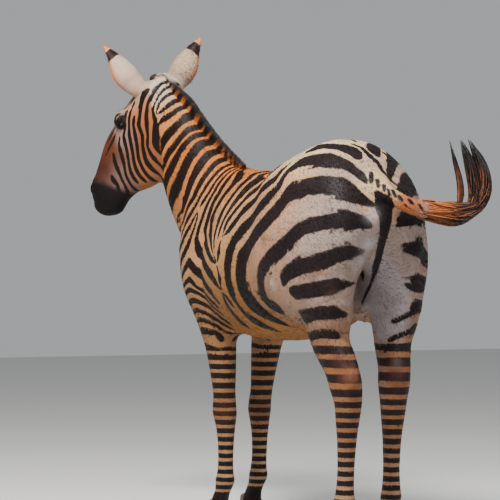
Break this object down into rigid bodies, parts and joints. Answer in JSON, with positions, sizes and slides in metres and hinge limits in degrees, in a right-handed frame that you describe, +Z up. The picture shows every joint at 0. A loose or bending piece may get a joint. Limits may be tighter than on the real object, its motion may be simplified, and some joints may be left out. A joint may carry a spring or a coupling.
{
  "type": "life-size standing zebra figure",
  "caption": "Life-size standing plains zebra, head turned to its left and tail swept to its right, its body divided into head, neck, trunk, legs, ears, mane and tail.",
  "frame": {"origin": "on the floor under the middle of the whole box", "axes": "+X towards the animal's left, -Y the way the trunk faces, +Z up"},
  "size_m": [0.7166, 1.8834, 1.771],
  "materials": {
    "coat": "matte",
    "dark_hair": "matte",
    "eye": "gloss",
    "horn": "satin"
  },
  "bodies": {
    "root": {"ear_left": "coat", "ear_right": "coat", "eye_left": "eye", "eye_right": "eye", "fore_cannon_left": "coat", "fore_cannon_right": "coat", "fore_hoof_left": "horn", "fore_hoof_right": "horn", "fore_pastern_left": "coat", "fore_pastern_right": "coat", "forearm_left": "coat", "forearm_right": "coat", "gaskin_left": "coat", "gaskin_right": "coat", "head": "coat", "hind_cannon_left": "coat", "hind_cannon_right": "coat", "hind_hoof_left": "horn", "hind_hoof_right": "horn", "hind_pastern_left": "coat", "hind_pastern_right": "coat", "mane": "dark_hair", "muzzle": "coat", "neck": "coat", "tail_dock": "coat", "tail_hair": "dark_hair", "trunk": "coat"}
  },
  "joints": []
}
